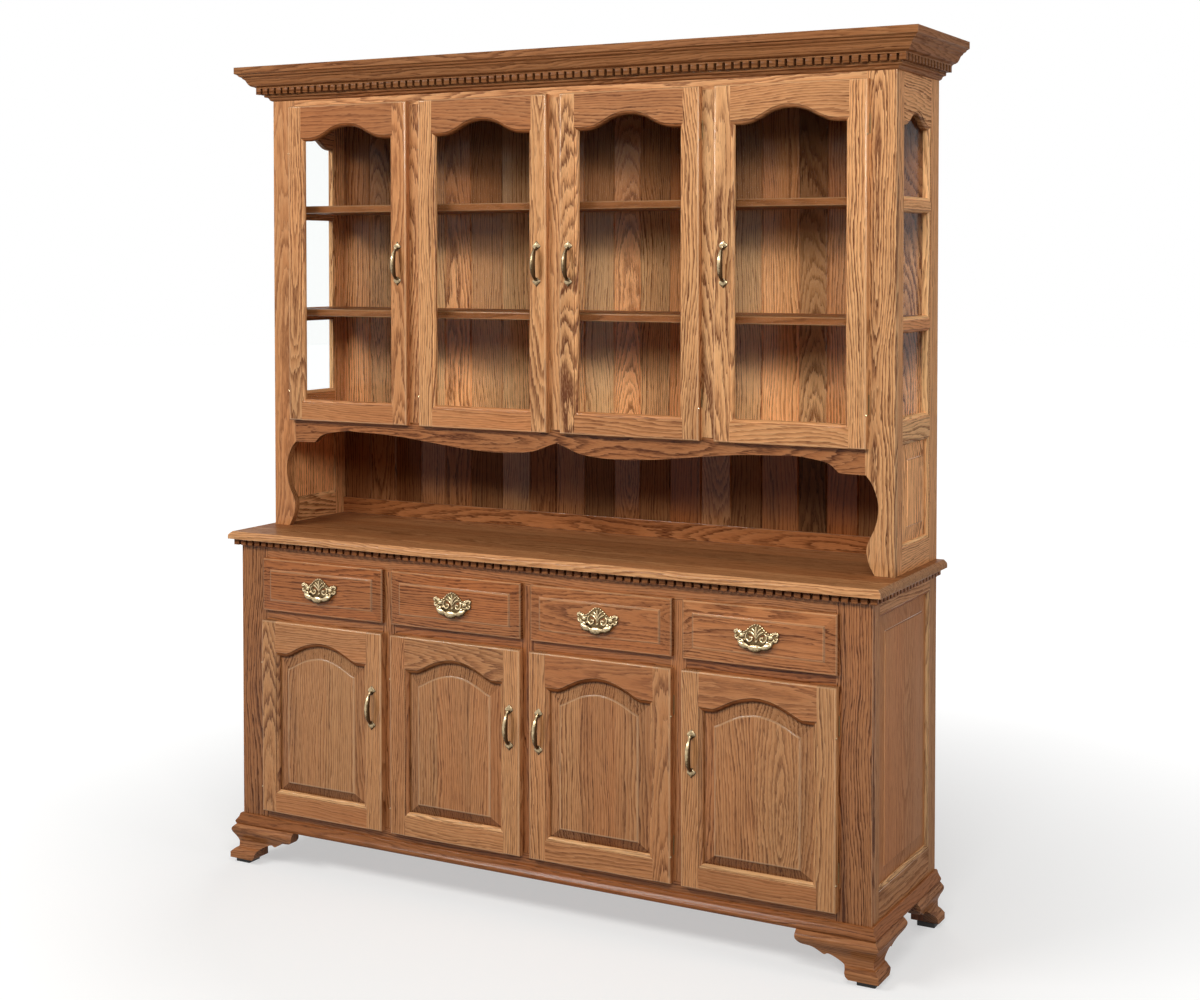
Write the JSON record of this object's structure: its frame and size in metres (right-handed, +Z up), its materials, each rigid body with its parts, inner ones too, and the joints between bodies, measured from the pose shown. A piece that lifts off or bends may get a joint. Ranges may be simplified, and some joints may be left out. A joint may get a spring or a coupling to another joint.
{
  "type": "hutch",
  "caption": "Oak hutch: panelled cupboard base with drawers and ogee bracket feet, glazed upper case with arched doors, dentil crown and open display space.",
  "frame": {"origin": "on the floor, in the middle of the object's outline", "axes": "+Z up, -Y out of the front, +X to the right seen from the front"},
  "size_m": [1.922, 0.4912, 2.128],
  "materials": {
    "oak": "satin lacquered oak",
    "oak_inside": "lacquered oak",
    "brass": "antiqued cast brass",
    "glass": "clear flat glass"
  },
  "bodies": {
    "case": {"base_left_side": "oak", "base_right_side": "oak", "base_face_frame": "oak", "base_floor": "oak_inside", "base_shelf": "oak_inside", "base_back": "oak_inside", "drawer_deck": "oak_inside", "base_top": "oak", "base_moulding": "oak", "front_left_foot": "oak", "front_right_foot": "oak", "back_left_foot": "oak", "back_right_foot": "oak", "hutch_left_side": "oak", "hutch_right_side": "oak", "side_glass_left": "glass", "side_glass_right": "glass", "hutch_face_frame": "oak", "crown_moulding": "oak", "hutch_top": "oak_inside", "hutch_floor": "oak_inside", "hutch_back": "oak_inside", "upper_shelf": "oak_inside", "lower_shelf": "oak_inside"},
    "hutch_door_1": {"hutch_door_1": "oak", "hutch_door_glass_1": "glass", "hutch_door_pull_1": "brass"},
    "base_door_1": {"base_door_1": "oak", "base_door_panel_1": "oak", "base_door_pull_1": "brass"},
    "drawer_1": {"drawer_1": "oak", "drawer_plate_1": "brass"},
    "drawer_bail_1": {"drawer_bail_1": "brass"},
    "hutch_door_2": {"hutch_door_2": "oak", "hutch_door_glass_2": "glass", "hutch_door_pull_2": "brass"},
    "base_door_2": {"base_door_2": "oak", "base_door_panel_2": "oak", "base_door_pull_2": "brass"},
    "drawer_2": {"drawer_2": "oak", "drawer_plate_2": "brass"},
    "drawer_bail_2": {"drawer_bail_2": "brass"},
    "hutch_door_3": {"hutch_door_3": "oak", "hutch_door_glass_3": "glass", "hutch_door_pull_3": "brass"},
    "base_door_3": {"base_door_3": "oak", "base_door_panel_3": "oak", "base_door_pull_3": "brass"},
    "drawer_3": {"drawer_3": "oak", "drawer_plate_3": "brass"},
    "drawer_bail_3": {"drawer_bail_3": "brass"},
    "hutch_door_4": {"hutch_door_4": "oak", "hutch_door_glass_4": "glass", "hutch_door_pull_4": "brass"},
    "base_door_4": {"base_door_4": "oak", "base_door_panel_4": "oak", "base_door_pull_4": "brass"},
    "drawer_4": {"drawer_4": "oak", "drawer_plate_4": "brass"},
    "drawer_bail_4": {"drawer_bail_4": "brass"}
  },
  "joints": [
    {"name": "hutch_door_1_hinge", "type": "hinge", "parent": "case", "child": "hutch_door_1", "pos_m": [-0.8248, -0.07355, 1.5995], "axis": [0, 0, -1], "range_deg": [0, 110]},
    {"name": "base_door_1_hinge", "type": "hinge", "parent": "case", "child": "base_door_1", "pos_m": [-0.8097, -0.21375, 0.405], "axis": [0, 0, -1], "range_deg": [0, 110]},
    {"name": "drawer_1_slide", "type": "slide", "parent": "case", "child": "drawer_1", "axis": [0, -1, 0], "range_m": [0, 0.3]},
    {"name": "drawer_1_bail_swing", "type": "hinge", "parent": "drawer_1", "child": "drawer_bail_1", "pos_m": [-0.6156, -0.22655, 0.74425], "axis": [-1, 0, 0], "range_deg": [0, 85]},
    {"name": "hutch_door_2_hinge", "type": "hinge", "parent": "case", "child": "hutch_door_2", "pos_m": [-0.4039, -0.07355, 1.5995], "axis": [0, 0, -1], "range_deg": [0, 110]},
    {"name": "base_door_2_hinge", "type": "hinge", "parent": "case", "child": "base_door_2", "pos_m": [-0.3993, -0.21375, 0.405], "axis": [0, 0, -1], "range_deg": [0, 110]},
    {"name": "drawer_2_slide", "type": "slide", "parent": "case", "child": "drawer_2", "axis": [0, -1, 0], "range_m": [0, 0.3]},
    {"name": "drawer_2_bail_swing", "type": "hinge", "parent": "drawer_2", "child": "drawer_bail_2", "pos_m": [-0.2052, -0.22655, 0.74425], "axis": [-1, 0, 0], "range_deg": [0, 85]},
    {"name": "hutch_door_3_hinge", "type": "hinge", "parent": "case", "child": "hutch_door_3", "pos_m": [0.4039, -0.07355, 1.5995], "axis": [0, 0, 1], "range_deg": [0, 110]},
    {"name": "base_door_3_hinge", "type": "hinge", "parent": "case", "child": "base_door_3", "pos_m": [0.3993, -0.21375, 0.405], "axis": [0, 0, 1], "range_deg": [0, 110]},
    {"name": "drawer_3_slide", "type": "slide", "parent": "case", "child": "drawer_3", "axis": [0, -1, 0], "range_m": [0, 0.3]},
    {"name": "drawer_3_bail_swing", "type": "hinge", "parent": "drawer_3", "child": "drawer_bail_3", "pos_m": [0.2052, -0.22655, 0.74425], "axis": [-1, 0, 0], "range_deg": [0, 85]},
    {"name": "hutch_door_4_hinge", "type": "hinge", "parent": "case", "child": "hutch_door_4", "pos_m": [0.8248, -0.07355, 1.5995], "axis": [0, 0, 1], "range_deg": [0, 110]},
    {"name": "base_door_4_hinge", "type": "hinge", "parent": "case", "child": "base_door_4", "pos_m": [0.8097, -0.21375, 0.405], "axis": [0, 0, 1], "range_deg": [0, 110]},
    {"name": "drawer_4_slide", "type": "slide", "parent": "case", "child": "drawer_4", "axis": [0, -1, 0], "range_m": [0, 0.3]},
    {"name": "drawer_4_bail_swing", "type": "hinge", "parent": "drawer_4", "child": "drawer_bail_4", "pos_m": [0.6156, -0.22655, 0.74425], "axis": [-1, 0, 0], "range_deg": [0, 85]}
  ]
}
